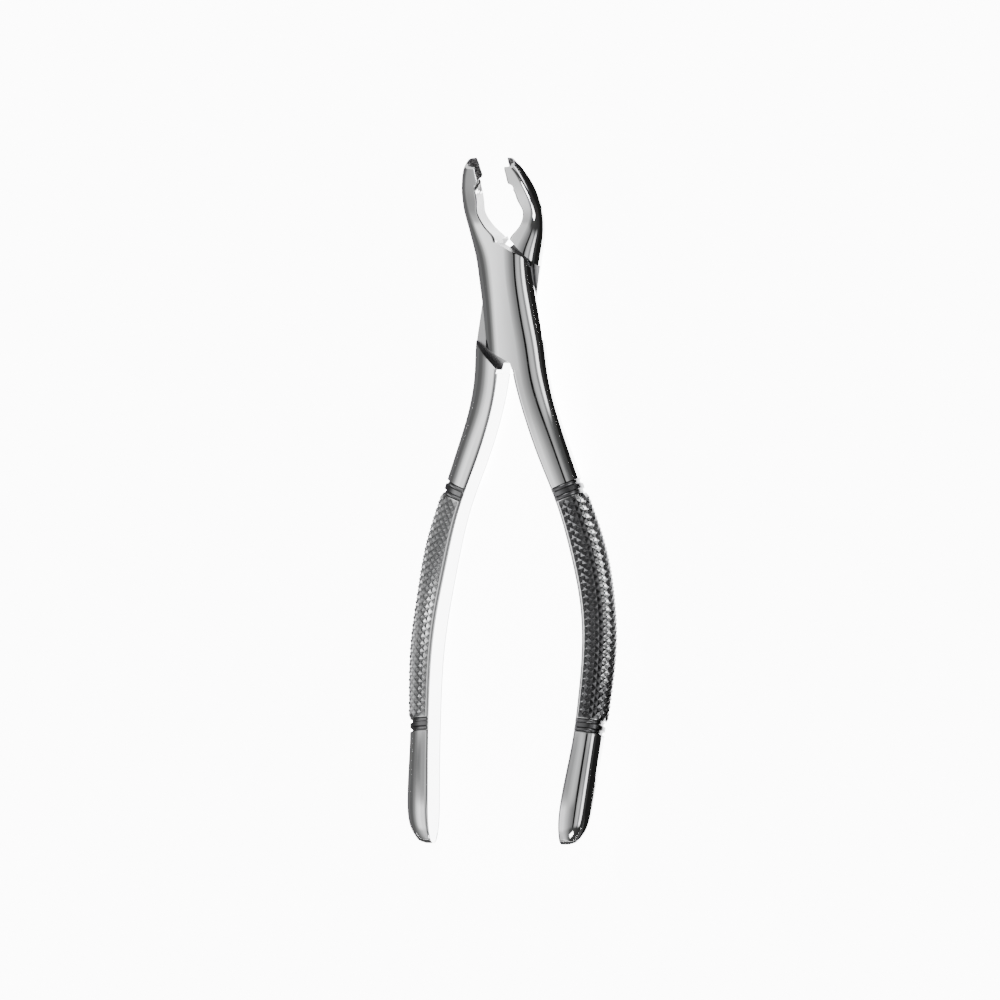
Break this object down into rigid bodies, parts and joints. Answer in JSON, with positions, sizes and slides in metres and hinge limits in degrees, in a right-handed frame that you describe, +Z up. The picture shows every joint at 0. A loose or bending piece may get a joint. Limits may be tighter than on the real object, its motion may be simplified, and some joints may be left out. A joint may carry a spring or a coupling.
{
  "type": "extraction forceps",
  "caption": "Dental extraction forceps: crossed forged steel halves in a screwed lap joint, with hollow serrated beaks and curved knurled handles.",
  "frame": {"origin": "middle of the underside of the whole object's box, lying with its beaks and handle ends turned up", "axes": "+Y along the instrument towards the beaks, +X across it in the plane the jaws open in, +Z up, the side the beaks and handle ends curve towards"},
  "size_m": [0.0578, 0.178, 0.022],
  "materials": {
    "forged_steel": "mirror-polished stainless steel, knurled on the grips",
    "screw_steel": "ground stainless steel"
  },
  "bodies": {
    "back": {"back_half": "forged_steel"},
    "front": {"front_half": "forged_steel", "pivot_screw": "screw_steel"}
  },
  "joints": [
    {"name": "pivot", "type": "hinge", "parent": "back", "child": "front", "pos_m": [0, 0.0514, 0.00878], "axis": [0, 0, 1], "range_deg": [-13, 15]}
  ]
}
